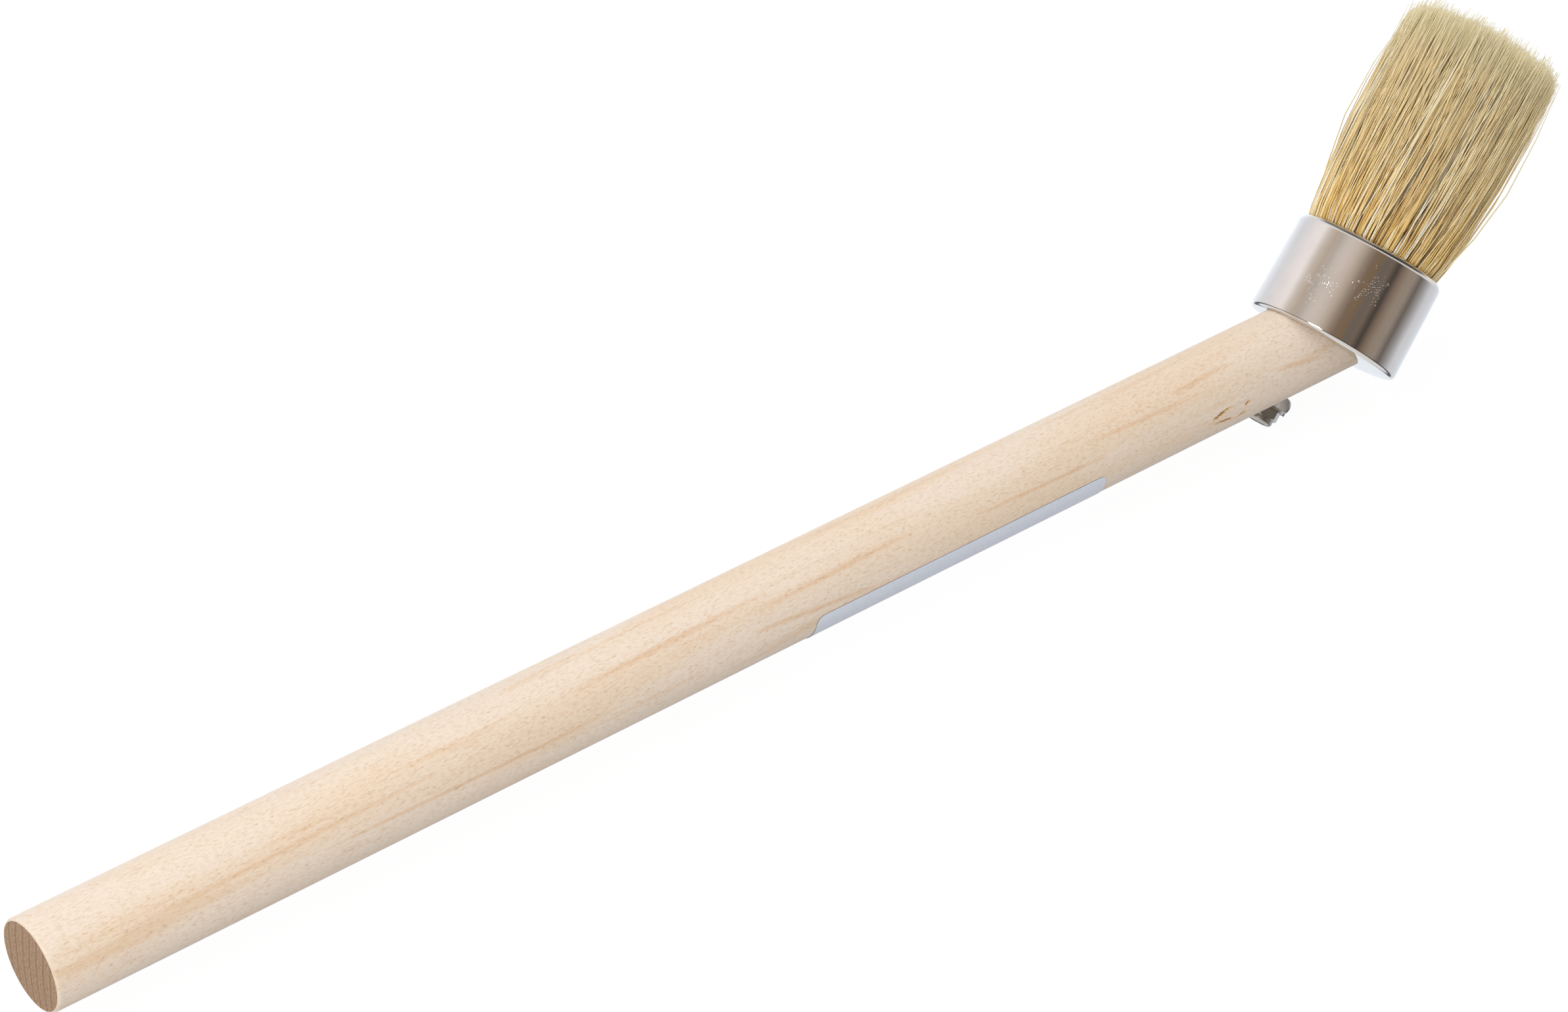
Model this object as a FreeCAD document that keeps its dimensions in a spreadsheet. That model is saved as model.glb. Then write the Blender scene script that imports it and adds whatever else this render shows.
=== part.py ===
"""Angled round brush: a bristle capsule bolted to a dowel handle that is mitred at its head end.

Row frame: origin at the middle of the handle's butt face, +X along the handle to the head, +Z up.
The head leans up from +X by head_angle. Pieces of the head are drawn in the head's own frame:
z runs along the capsule, x points away from the butt, and z = 0 is the mitre face.
"""

import FreeCAD, Part
import Sketcher
import os
import re

doc = FreeCAD.newDocument("angled_round_brush")

# ---------------------------------------------------------------- driving dimensions (mm, degrees)

SIZES = {
    "handle_diameter": 20.0,
    "handle_reach": 338.5,      # butt face to the middle of the mitre face
    "head_angle": 45.0,         # capsule axis to handle axis
    "butt_round": 0.7,
    "toe_flat": 1.2,            # blunt tip left on the mitre's sharp toe
    "cup_shift": 3.5,           # capsule axis from the middle of the mitre face
    "cup_diameter": 37.0,
    "cup_mouth_diameter": 36.2,
    "cup_height": 24.0,
    "cup_wall": 0.6,
    "cup_base_round": 1.1,
    "cup_lip": 2.0,             # how far the rolled lip reaches in
    "cup_lip_round": 1.8,
    "bristle_length": 55.0,     # mouth of the capsule to the tips
    "bristle_root": 32.0,       # diameter inside the capsule's mouth
    "bristle_collar": 35.0,     # diameter where the bristles have sprung out over the lip
    "bristle_spring": 3.0,
    "bristle_belly": 37.7,
    "bristle_tip": 36.2,
    "tip_round": 4.0,
    "resin_depth": 8.0,         # top of the resin above the mitre face
    "binding_height": 6.0,
    "binding_thick": 1.0,
    "bolt_shift": -2.6,         # bolt axis from the middle of the mitre face
    "bolt_diameter": 4.0,
    "bolt_end": 22.5,           # mitre face to the bolt's end
    "bolt_head_diameter": 8.0,
    "bolt_head_height": 2.7,
    "slot_width": 1.2,
    "slot_depth": 1.3,
    "inner_washer_diameter": 15.0,
    "inner_washer_thick": 1.2,
    "seat_depth": 18.5,         # mitre face to the notch that the nut's washer bears on
    "seat_diameter": 9.4,
    "washer_diameter": 8.6,
    "washer_thick": 0.6,
    "tab_diameter": 4.2,
    "tab_reach": 4.8,           # bolt axis to the near face of the bent-up tab
    "tab_rise": 1.8,            # washer face to the middle of the tab's round end
    "tongue_width": 3.2,        # strip that joins the tab to the washer
    "nut_width": 7.0,           # across flats
    "nut_hex_height": 2.4,
    "nut_height": 4.0,
    "nut_chamfer": 0.4,
    "nut_collar": 6.4,
    "collar_round": 0.9,
    "insert_diameter": 5.4,
    "insert_height": 1.0,
    "label_start": 185.0,       # butt face to the label's near end
    "label_length": 81.5,
    "label_width": 24.0,        # around the handle
    "label_edge_angle": 10.0,   # front edge below the handle's side
    "label_corner": 1.0,
    "label_thick": 0.12,
    "hole_play": 0.4,           # hole diameter less bolt diameter
    "thread_play": 0.05,
    "soft_play": 0.05,
}

sheet = doc.addObject("Spreadsheet::Sheet", "Sizes")
for row, (alias, value) in enumerate(SIZES.items(), start=1):
    sheet.set(f"A{row}", alias)
    sheet.set(f"B{row}", str(value))
    sheet.setAlias(f"B{row}", alias)
doc.recompute()

# The plain hole that the bolt passes through, in the handle, the cup and both washers.
BOLT_HOLE = "(bolt_diameter + hole_play)"


def size(expression):
    """The value of an alias, or of an expression of aliases, as the sheet works it out."""
    return float(sheet.evalExpression(expression))


# ---------------------------------------------------------------- helpers

sub_parts = []


def with_sheet(expression):
    """The expression with each alias named through the sheet, as another object's expression needs."""
    return re.sub(r"[a-z]\w*_\w+", lambda found: f"Sizes.{found.group()}", expression)


def bind(item, **expressions):
    """Bind properties to expressions of the sheet's aliases. A double underscore stands for a dot."""
    for name, expression in expressions.items():
        item.setExpression(name.replace("__", "."), with_sheet(expression))
    return item


def cylinder(name, radius, height, low="0", shift="0"):
    """A cylinder along z that starts at height low, with its axis moved along x by shift."""
    made = doc.addObject("Part::Cylinder", name)
    return bind(made, Radius=radius, Height=height, Placement__Base__x=shift, Placement__Base__z=low)


def fuse(name, *pieces):
    made = doc.addObject("Part::MultiFuse", name)
    made.Shapes = list(pieces)
    return made


def cut(name, base, tool):
    made = doc.addObject("Part::Cut", name)
    made.Base, made.Tool = base, tool
    return made


def common(name, *pieces):
    made = doc.addObject("Part::MultiCommon", name)
    made.Shapes = list(pieces)
    return made


def circles_at(item, height):
    """Numbers of the closed edges that lie in the plane z = height of the item's own frame."""
    doc.recompute()
    found = []
    for number, edge in enumerate(item.Shape.Edges, start=1):
        box = edge.BoundBox
        if edge.isClosed() and abs(box.ZMin - height) < 1e-4 and abs(box.ZMax - height) < 1e-4:
            found.append(number)
    return found


def rounded(name, base, heights, amount, kind="Part::Fillet"):
    """Round or chamfer the circular edges of base at each of the heights."""
    edges = [number for height in heights for number in circles_at(base, height)]
    made = doc.addObject(kind, name)
    made.Base = base
    made.Edges = [(number, amount, amount) for number in edges]
    return made


def keep(item, label):
    """Register a finished sub-part under the name of its node."""
    item.Label = label
    sub_parts.append(item)
    return item


def on_head(item, shift):
    """Place an item drawn in the head's frame, with its axis moved along the mitre by a shift."""
    item.Placement = FreeCAD.Placement(
        FreeCAD.Vector(size("handle_reach"), 0, 0),
        FreeCAD.Rotation(FreeCAD.Vector(0, 1, 0), size("head_angle")),
    )
    return bind(
        item,
        Placement__Base__x=f"handle_reach + {shift} * cos(head_angle * 1 deg)",
        Placement__Base__z=f"-{shift} * sin(head_angle * 1 deg)",
        Placement__Rotation__Angle="head_angle * 1 deg",
    )


def sketch_in(body, name, plane):
    """A sketch on one of the body's own origin planes."""
    made = body.newObject("Sketcher::SketchObject", name)
    origin = next(f for f in body.Origin.OriginFeatures if f.Role == plane)
    made.AttachmentSupport = [(origin, "")]
    made.MapMode = "FlatFace"
    return made


def turned_body(name, corners):
    """A body revolved about z from a closed outline. Each corner is a pair of sheet expressions."""
    body = doc.addObject("PartDesign::Body", name)
    outline = sketch_in(body, f"{name}_outline", "XZ_Plane")
    places = [FreeCAD.Vector(size(x), size(z), 0) for x, z in corners]
    for start, end in zip(places, places[1:] + places[:1]):
        outline.addGeometry(Part.LineSegment(start, end), False)
    for number, corner in enumerate(corners):
        outline.addConstraint(Sketcher.Constraint("Coincident", (number or len(corners)) - 1, 2, number, 1))
        for kind, axis, expression in (("DistanceX", -2, corner[0]), ("DistanceY", -1, corner[1])):
            if expression == "0":
                outline.addConstraint(Sketcher.Constraint("PointOnObject", number, 1, axis))
                continue
            made = outline.addConstraint(Sketcher.Constraint(kind, -1, 1, number, 1, size(expression)))
            outline.setExpression(f"Constraints[{made}]", with_sheet(expression))
    spin = body.newObject("PartDesign::Revolution", f"{name}_turned")
    spin.Profile = outline
    spin.ReferenceAxis = (outline, ["V_Axis"])
    spin.Angle = 360
    body.Tip = spin
    doc.recompute()
    return body


def body_round(body, name, height, radius_at, amount):
    """Round the circular edge of a body's tip at a height and a radius, both sheet expressions."""
    base = body.Tip
    edges = [
        number
        for number in circles_at(base, size(height))
        if abs(base.Shape.Edges[number - 1].Curve.Radius - size(radius_at)) < 1e-4
    ]
    made = body.newObject("PartDesign::Fillet", name)
    made.Base = (base, [f"Edge{number}" for number in edges])
    bind(made, Radius=amount)
    doc.recompute()


# ---------------------------------------------------------------- handle

def handle():
    """Hardwood dowel: rounded butt edge, mitred head end, slanted bolt hole and a notch for the nut.

    It is drawn standing along z and laid along +X at the end. The cutters are in the head's frame.
    """
    dowel = cylinder("Dowel", "handle_diameter / 2", "handle_reach + handle_diameter / 2 - toe_flat")
    shaped = rounded("Rounded_dowel", dowel, [0], size("butt_round"))
    shaped.Placement = FreeCAD.Placement(FreeCAD.Vector(), FreeCAD.Rotation(FreeCAD.Vector(0, 1, 0), 90))

    mitre = doc.addObject("Part::Box", "Mitre_cutter")
    bind(
        mitre,
        Length="handle_diameter * 4",
        Width="handle_diameter * 2",
        Height="handle_diameter * 2",
        Placement__Base__x="-handle_diameter * 2",
        Placement__Base__y="-handle_diameter",
    )
    hole = cylinder("Bolt_hole", f"{BOLT_HOLE} / 2", "handle_diameter * 3", "-handle_diameter * 2", "bolt_shift")
    notch = cylinder(
        "Nut_notch", "seat_diameter / 2", "handle_diameter", "-seat_depth - handle_diameter", "bolt_shift"
    )
    cutters = fuse("Handle_cutters", mitre, hole, notch)
    cutters.Placement = FreeCAD.Placement(
        FreeCAD.Vector(size("handle_reach"), 0, 0),
        FreeCAD.Rotation(FreeCAD.Vector(0, 1, 0), size("head_angle")),
    )
    bind(cutters, Placement__Base__x="handle_reach", Placement__Rotation__Angle="head_angle * 1 deg")
    return keep(cut("Handle", shaped, cutters), "handle")


def label():
    """Paper sticker with round corners, wrapped round the underside of the handle.

    It is a sector of a thin tube, drawn along z from its first edge and laid along +X.
    """
    wrap = "label_width / (handle_diameter / 2) * 1 rad"
    outer = cylinder("Label_outside", "handle_diameter / 2 + label_thick", "label_length")
    inner = cylinder("Label_inside", "handle_diameter / 2", "label_length")
    bind(outer, Angle=wrap)
    bind(inner, Angle=wrap)
    sector = cut("Label_sector", outer, inner)
    doc.recompute()
    thick = size("label_thick")
    corners = [n for n, edge in enumerate(sector.Shape.Edges, start=1) if abs(edge.Length - thick) < 1e-6]
    rounded_sector = doc.addObject("Part::Fillet", "Label")
    rounded_sector.Base = sector
    rounded_sector.Edges = [(n, size("label_corner"), size("label_corner")) for n in corners]
    along = FreeCAD.Rotation(FreeCAD.Vector(0, 1, 0), 90)
    first_edge = FreeCAD.Rotation(FreeCAD.Vector(1, 0, 0), size("label_edge_angle"))
    to_front = FreeCAD.Rotation(FreeCAD.Vector(0, 0, 1), -90)
    rounded_sector.Placement = FreeCAD.Placement(FreeCAD.Vector(), first_edge * along * to_front)
    bind(rounded_sector, Placement__Base__x="label_start")
    return keep(rounded_sector, "label")


# ---------------------------------------------------------------- head

def ferrule_cup():
    """Drawn nickel-plated cup: slight taper, round base corner, lip rolled in at the mouth."""
    base, mouth = "cup_diameter / 2", "cup_mouth_diameter / 2"
    body = turned_body(
        "Ferrule_cup",
        [
            ("0", "0"),
            (base, "0"),
            (mouth, "cup_height"),
            (f"{mouth} - cup_lip", "cup_height"),
            (f"{mouth} - cup_lip", "cup_height - cup_wall"),
            (f"{mouth} - cup_wall", "cup_height - cup_wall"),
            (f"{base} - cup_wall", "cup_wall"),
            ("0", "cup_wall"),
        ],
    )
    under_lip = "cup_height - cup_wall"
    body_round(body, "Lip_round", "cup_height", mouth, "cup_lip_round")
    body_round(body, "Lip_inside_round", under_lip, f"{mouth} - cup_wall", "cup_lip_round - cup_wall")
    body_round(body, "Base_round", "0", base, "cup_base_round")
    body_round(body, "Base_inside_round", "cup_wall", f"{base} - cup_wall", "cup_base_round - cup_wall")
    circle = sketch_in(body, "Bolt_hole_circle", "XY_Plane")
    circle.addGeometry(Part.Circle(FreeCAD.Vector(), FreeCAD.Vector(0, 0, 1), size(f"{BOLT_HOLE} / 2")), False)
    circle.addConstraint(Sketcher.Constraint("Coincident", 0, 3, -1, 1))
    circle.addConstraint(Sketcher.Constraint("Diameter", 0, size(BOLT_HOLE)))
    circle.setExpression("Constraints[1]", with_sheet(BOLT_HOLE))
    bind(circle, AttachmentOffset__Base__x="bolt_shift - cup_shift")
    doc.recompute()
    hole = body.newObject("PartDesign::Pocket", "Cup_bolt_hole")
    hole.Profile = circle
    hole.Midplane = True
    bind(hole, Length="cup_wall * 4")
    body.Tip = hole
    return keep(on_head(body, "cup_shift"), "ferrule_cup")


def bristle_tuft():
    """The bristle bundle as one closed solid of its outer shape, from the resin to the domed tips."""
    root, belly, tip = "bristle_root / 2", "bristle_belly / 2", "bristle_tip / 2"
    body = turned_body(
        "Bristle_tuft",
        [
            ("0", "resin_depth"),
            (root, "resin_depth"),
            (root, "cup_height + soft_play"),
            ("bristle_collar / 2", "cup_height + bristle_spring"),
            (belly, "cup_height + bristle_length * 0.45"),
            (tip, "cup_height + bristle_length"),
            ("0", "cup_height + bristle_length"),
        ],
    )
    body_round(body, "Collar_round", "cup_height + bristle_spring", "bristle_collar / 2", "bristle_spring")
    body_round(body, "Tip_round", "cup_height + bristle_length", tip, "tip_round")
    return keep(on_head(body, "cup_shift"), "bristle_tuft")


def root_binding():
    """Twine wound five times round the roots of the bristles inside the cup, as one ribbed ring."""
    turns = 5
    turn = size("binding_height") / turns
    inside = size("bristle_root / 2 + soft_play")
    valley = inside + size("binding_thick / 2")
    crest = inside + size("binding_thick")
    low = size("resin_depth + soft_play")
    high = low + size("binding_height")

    def point(radius, height):
        return FreeCAD.Vector(radius, 0, height)

    edges = [Part.LineSegment(point(inside, low), point(valley, low))]
    for number in range(turns):
        start = low + number * turn
        end = start + turn
        edges.append(Part.Arc(point(valley, start), point(crest, (start + end) / 2), point(valley, end)))
    edges.append(Part.LineSegment(point(valley, high), point(inside, high)))
    edges.append(Part.LineSegment(point(inside, high), point(inside, low)))
    section = Part.Face(Part.Wire([edge.toShape() for edge in edges]))
    ring = doc.addObject("Part::Feature", "Root_binding")
    ring.Shape = section.revolve(FreeCAD.Vector(), FreeCAD.Vector(0, 0, 1), 360)
    return keep(on_head(ring, "cup_shift"), "root_binding")


def resin_plug():
    """Cast resin that holds the bristle roots and fills the cup's bottom round the bolt head."""
    plug = cylinder(
        "Resin_blank", "cup_mouth_diameter / 2 - cup_wall - soft_play", "resin_depth - cup_wall", "cup_wall"
    )
    corner = rounded("Resin_corner", plug, [size("cup_wall")], size("cup_base_round") - size("cup_wall"))
    around_washer = cylinder(
        "Washer_pocket",
        "inner_washer_diameter / 2 + soft_play",
        "inner_washer_thick + soft_play",
        "cup_wall",
        "bolt_shift - cup_shift",
    )
    around_head = cylinder(
        "Head_pocket",
        "bolt_head_diameter / 2 + soft_play",
        "inner_washer_thick + bolt_head_height + soft_play",
        "cup_wall",
        "bolt_shift - cup_shift",
    )
    plug_cut = cut("Resin_plug", corner, fuse("Resin_pockets", around_washer, around_head))
    return keep(on_head(plug_cut, "cup_shift"), "resin_plug")


# ---------------------------------------------------------------- fastening

# The nylon insert sits in the collar, just inside its rounded end.
INSERT_LOW = "-seat_depth - washer_thick - nut_height + insert_height / 6"


def pan_head_bolt():
    """M4 slotted pan-head bolt from inside the cup to the nut. Its thread is drawn plain."""
    under_head = "cup_wall + inner_washer_thick"
    shank = cylinder(
        "Bolt_shank",
        "bolt_diameter / 2 - thread_play",
        f"bolt_end + {under_head} + bolt_head_height / 2",
        "-bolt_end",
    )
    head = cylinder("Bolt_head_blank", "bolt_head_diameter / 2", "bolt_head_height", under_head)
    top = size("cup_wall") + size("inner_washer_thick") + size("bolt_head_height")
    domed = rounded("Bolt_head", head, [top], size("bolt_head_height") / 3)
    slot = doc.addObject("Part::Box", "Bolt_slot")
    bind(
        slot,
        Length="bolt_head_diameter * 2",
        Width="slot_width",
        Height="slot_depth * 2",
        Placement__Base__x="-bolt_head_diameter",
        Placement__Base__y="-slot_width / 2",
        Placement__Base__z=f"{under_head} + bolt_head_height - slot_depth",
    )
    bolt = cut("Pan_head_bolt", fuse("Bolt_blank", shank, domed), slot)
    return keep(on_head(bolt, "bolt_shift"), "pan_head_bolt")


def inner_washer():
    """Wide flat washer that spreads the bolt head's pull over the thin cup bottom."""
    disc = cylinder("Inner_washer_disc", "inner_washer_diameter / 2", "inner_washer_thick", "cup_wall")
    hole = cylinder("Inner_washer_hole", f"{BOLT_HOLE} / 2", "inner_washer_thick * 2", "cup_wall / 2")
    return keep(on_head(cut("Inner_washer", disc, hole), "bolt_shift"), "inner_washer")


def tab_washer():
    """Washer under the nut, with a round-ended tab bent up towards the wood on the toe side."""
    low = "-seat_depth - washer_thick"
    disc = cylinder("Tab_washer_disc", "washer_diameter / 2", "washer_thick", low)
    tab = doc.addObject("Part::Cylinder", "Tab")
    tab.Placement = FreeCAD.Placement(FreeCAD.Vector(), FreeCAD.Rotation(FreeCAD.Vector(0, 1, 0), 90))
    bind(
        tab,
        Radius="tab_diameter / 2",
        Height="washer_thick",
        Placement__Base__x="tab_reach",
        Placement__Base__z="-seat_depth + tab_rise - washer_thick / 2",
    )
    tongue = doc.addObject("Part::Box", "Tongue")
    bind(
        tongue,
        Length="tab_reach + washer_thick",
        Width="tongue_width",
        Height="washer_thick",
        Placement__Base__y="-tongue_width / 2",
        Placement__Base__z=low,
    )
    hole = cylinder("Tab_washer_hole", f"{BOLT_HOLE} / 2", "washer_thick * 3", f"{low} - washer_thick")
    trim = cylinder("Tab_washer_trim", "washer_diameter", "washer_diameter", f"{low} - washer_diameter")
    blank = fuse("Tab_washer_blank", fuse("Tab_washer_strip", disc, tongue), tab)
    washer = cut("Tab_washer", blank, fuse("Tab_washer_cutters", hole, trim))
    return keep(on_head(washer, "bolt_shift"), "tab_washer")


def lock_nut():
    """M4 hexagon nut, its corners chamfered, with a round collar that holds a nylon insert."""
    face = "-seat_depth - washer_thick"
    low = f"{face} - nut_hex_height"
    corner_radius = "nut_width / 2 / cos(30 deg)"
    prism = doc.addObject("Part::Prism", "Nut_prism")
    prism.Polygon = 6
    prism.Placement = FreeCAD.Placement(FreeCAD.Vector(), FreeCAD.Rotation(FreeCAD.Vector(0, 0, 1), 30))
    bind(prism, Circumradius=corner_radius, Height="nut_hex_height", Placement__Base__z=low)
    turned_blank = cylinder("Nut_turned_blank", corner_radius, "nut_hex_height", low)
    ends = [size(face), size(low)]
    turned = rounded("Nut_turned", turned_blank, ends, size("nut_chamfer"), "Part::Chamfer")
    hexagon = common("Nut_hexagon", prism, turned)
    collar_blank = cylinder("Nut_collar_blank", "nut_collar / 2", "nut_height", f"{face} - nut_height")
    collar = rounded("Nut_collar", collar_blank, [size(f"{face} - nut_height")], size("collar_round"))
    bore = cylinder("Nut_bore", "bolt_diameter / 2", "nut_height * 2", f"{face} - nut_height * 1.5")
    recess = cylinder("Insert_recess", "insert_diameter / 2", "insert_height", INSERT_LOW)
    nut = cut("Lock_nut", fuse("Nut_blank", hexagon, collar), fuse("Nut_cutters", bore, recess))
    return keep(on_head(nut, "bolt_shift"), "lock_nut")


def nylon_insert():
    """Ring in the nut's collar that grips the bolt's thread."""
    ring = cylinder("Insert_ring", "insert_diameter / 2", "insert_height", INSERT_LOW)
    low = f"{INSERT_LOW} - insert_height / 2"
    hole = cylinder("Insert_hole", "bolt_diameter / 2", "insert_height * 2", low)
    return keep(on_head(cut("Nylon_insert", ring, hole), "bolt_shift"), "nylon_insert")


# ---------------------------------------------------------------- build, check and export

for build in (
    handle,
    label,
    ferrule_cup,
    bristle_tuft,
    root_binding,
    resin_plug,
    inner_washer,
    pan_head_bolt,
    tab_washer,
    lock_nut,
    nylon_insert,
):
    build()
doc.recompute()

for item in doc.Objects:
    if "Invalid" in item.State or "Error" in item.State:
        raise RuntimeError(f"{item.Name} failed: {item.State}")
for item in sub_parts:
    if item.Shape.isNull() or not item.Shape.isValid() or item.Shape.Volume <= 0:
        raise RuntimeError(f"{item.Label} has no valid solid")

os.makedirs("parts", exist_ok=True)
for item in sub_parts:
    item.Shape.exportStep(f"parts/{item.Label}.step")
    box = item.Shape.BoundBox
    print(
        f"{item.Label:16s} volume {item.Shape.Volume:10.2f} mm3, solids {len(item.Shape.Solids)}, "
        f"X {box.XMin:7.2f} to {box.XMax:7.2f}, Z {box.ZMin:7.2f} to {box.ZMax:7.2f}"
    )
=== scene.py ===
"""Angled round brush: a dowel handle, mitred at its head, with a nickel-plated capsule of hog bristle.

The handle lies along +X from its butt at the origin, and the capsule leans up from it at 45 degrees.
Lengths are in metres. A piece of the head is drawn upright in the head's own frame and then leaned.
"""

import math
import random

import bmesh
import bpy
import numpy as np
from mathutils import Matrix, Quaternion, Vector, noise


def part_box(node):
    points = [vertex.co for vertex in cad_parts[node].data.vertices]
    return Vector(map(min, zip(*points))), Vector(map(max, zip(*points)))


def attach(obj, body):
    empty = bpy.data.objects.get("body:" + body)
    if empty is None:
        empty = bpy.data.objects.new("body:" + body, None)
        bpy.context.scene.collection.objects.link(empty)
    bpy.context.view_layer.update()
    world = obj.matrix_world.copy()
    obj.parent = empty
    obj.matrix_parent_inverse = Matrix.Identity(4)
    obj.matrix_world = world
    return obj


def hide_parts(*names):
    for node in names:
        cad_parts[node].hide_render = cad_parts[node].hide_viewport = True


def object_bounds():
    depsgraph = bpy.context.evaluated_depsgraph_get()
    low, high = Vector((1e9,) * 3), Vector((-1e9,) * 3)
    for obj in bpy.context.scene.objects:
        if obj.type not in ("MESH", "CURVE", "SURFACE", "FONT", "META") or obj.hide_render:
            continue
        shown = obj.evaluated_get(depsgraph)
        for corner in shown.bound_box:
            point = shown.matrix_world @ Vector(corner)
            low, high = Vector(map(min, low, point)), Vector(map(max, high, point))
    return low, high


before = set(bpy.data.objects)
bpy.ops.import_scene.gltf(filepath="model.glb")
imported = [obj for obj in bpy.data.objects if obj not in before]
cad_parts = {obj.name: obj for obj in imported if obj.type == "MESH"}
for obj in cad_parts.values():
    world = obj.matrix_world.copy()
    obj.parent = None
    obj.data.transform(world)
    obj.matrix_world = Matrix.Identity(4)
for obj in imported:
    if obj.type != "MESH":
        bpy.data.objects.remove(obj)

cad_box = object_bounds()
MM = 0.001


# ---------------------------------------------------------------- handle
# A 20 mm lime dowel, sanded but left raw: cream sapwood with tan streaks along it, a rounded butt edge
# and a 45 degree mitre at the head. A slanted hole takes the bolt, a notch under it seats the nut's
# washer, and the drill has torn a few chips out of the grain. It is turned, mitred and then drilled.

handle_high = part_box("handle")[1]
handle_radius = handle_high.y
handle_length = handle_high.x
butt_round = 0.7 * MM
toe_flat = 1.2 * MM
head_angle = math.radians(45)
mitre_middle = Vector((handle_length - handle_radius + toe_flat, 0, 0))
head_frame = Matrix.Translation(mitre_middle) @ Matrix.Rotation(head_angle, 4, "Y")
head_up = head_frame.to_3x3() @ Vector((0, 0, 1))
bolt_shift = -2.6 * MM
bolt_hole = 4.4 * MM
seat_depth = 18.5 * MM
seat_diameter = 9.4 * MM
# Torn chips: middle along X in mm, angle round from the near side in degrees, length, width and depth in
# mm, and the lean of the length from the grain in degrees.
torn_chips = (
    (300.5, -5.3, 6.0, 1.05, 0.4, 16),
    (302.0, -18.5, 6.1, 0.8, 0.34, -10),
    (307.4, -21.4, 2.8, 0.6, 0.3, 16),
    (308.6, -7.3, 1.9, 0.8, 0.34, 22),
)
# Tan streaks: X in mm and angle in degrees at one end, then at the other, and the width in mm.
tan_streaks = (
    (12, 24, 96, 31, 1.3),
    (60, 6, 128, 1, 1.0),
    (120, 44, 176, 50, 1.6),
    (169, 11, 203, -5, 1.3),
    (170, 33, 214, 38, 1.8),
    (228, 21, 268, 15, 1.0),
    (262, 40, 300, 33, 1.2),
    (289, 49, 308, 53, 1.5),
    (317, 20, 332, 6, 1.6),
)


def linear(hex_colour):
    """An sRGB hex colour as linear red, green, blue and alpha."""
    channels = [int(hex_colour[i : i + 2], 16) / 255 for i in (1, 3, 5)]
    return [c / 12.92 if c <= 0.04045 else ((c + 0.055) / 1.055) ** 2.4 for c in channels] + [1.0]


def add_node(tree, kind, inputs=None, stops=None, output=None, **settings):
    """Add a node with its settings and links. Returns its named output socket, or else its first one.

    Inputs go by socket name or number. Stops are a ramp's (position, hex colour or grey) pairs.
    """
    node = tree.nodes.new(kind)
    for name, value in settings.items():
        setattr(node, name, value)
    for name, value in (inputs or {}).items():
        usable = [s for s in node.inputs if s.enabled and s.name == name]
        socket = node.inputs[name] if isinstance(name, int) else usable[0]
        if isinstance(value, bpy.types.NodeSocket):
            tree.links.new(value, socket)
        else:
            socket.default_value = value
    for number, (position, colour) in enumerate(stops or ()):
        elements = node.color_ramp.elements
        if number == 0:
            elements.remove(elements[-1])
        element = elements.new(position) if number else elements[0]
        element.position = position
        element.color = linear(colour) if isinstance(colour, str) else (colour, colour, colour, 1)
    return next(s for s in node.outputs if s.enabled and output in (None, s.name))


def new_material(name, **values):
    """A material with its Principled shader's own values set by socket name. Returns it and its tree."""
    material = bpy.data.materials.new(name)
    material.use_nodes = True
    shader = material.node_tree.nodes["Principled BSDF"]
    for socket, value in values.items():
        shader.inputs[socket.replace("_", " ")].default_value = value
    return material, material.node_tree


def to_shader(tree, **links):
    """Link sockets to the Principled shader's inputs of those names."""
    shader = tree.nodes["Principled BSDF"]
    for name, socket in links.items():
        tree.links.new(socket, shader.inputs[name.replace("_", " ")])


def finish_piece(name, mesh, materials, stands_for, sharp_angle=35):
    """Make an object of a mesh with its materials, let it ride on the brush, and hide the CAD node it stands
    for.
    """
    mesh.name = name
    mesh.shade_smooth()
    mesh.set_sharp_from_angle(angle=math.radians(sharp_angle))
    for material in materials:
        mesh.materials.append(material)
    made = bpy.data.objects.new(name, mesh)
    bpy.context.scene.collection.objects.link(made)
    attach(made, "root")
    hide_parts(stands_for)
    return made


def as_mesh(mesh_data):
    """A finished mesh of a bmesh, which is freed."""
    mesh = bpy.data.meshes.new("made")
    mesh_data.to_mesh(mesh)
    mesh_data.free()
    return mesh


def arc(centre_x, centre_z, radius, start, end, steps):
    """Points on an arc in the XZ plane, its angles in degrees from +X towards +Z."""
    angles = [math.radians(start + (end - start) * n / steps) for n in range(steps + 1)]
    return [(centre_x + radius * math.cos(a), 0, centre_z + radius * math.sin(a)) for a in angles]


def turned(points, axis, steps):
    """A bmesh of the outline through the points, spun round an axis and closed at its poles."""
    made = bmesh.new()
    verts = [made.verts.new(point) for point in points]
    edges = [made.edges.new(pair) for pair in zip(verts, verts[1:])]
    bmesh.ops.spin(
        made, geom=verts + edges, cent=(0, 0, 0), axis=axis, dvec=(0, 0, 0),
        angle=math.tau, steps=steps, use_merge=True, use_duplicate=False,
    )
    bmesh.ops.remove_doubles(made, verts=made.verts, dist=0.002 * MM)
    bmesh.ops.recalc_face_normals(made, faces=made.faces)
    return made


def rod(radius, low, high, shift, frame_of_rod):
    """A plain round cutter along z between two heights of a frame, its axis moved along x."""
    made = bmesh.new()
    bmesh.ops.create_cone(
        made, cap_ends=True, segments=72, radius1=radius, radius2=radius, depth=high - low
    )
    bmesh.ops.translate(made, verts=made.verts, vec=(shift, 0, (low + high) / 2))
    bmesh.ops.transform(made, verts=made.verts, matrix=frame_of_rod)
    return made


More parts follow.
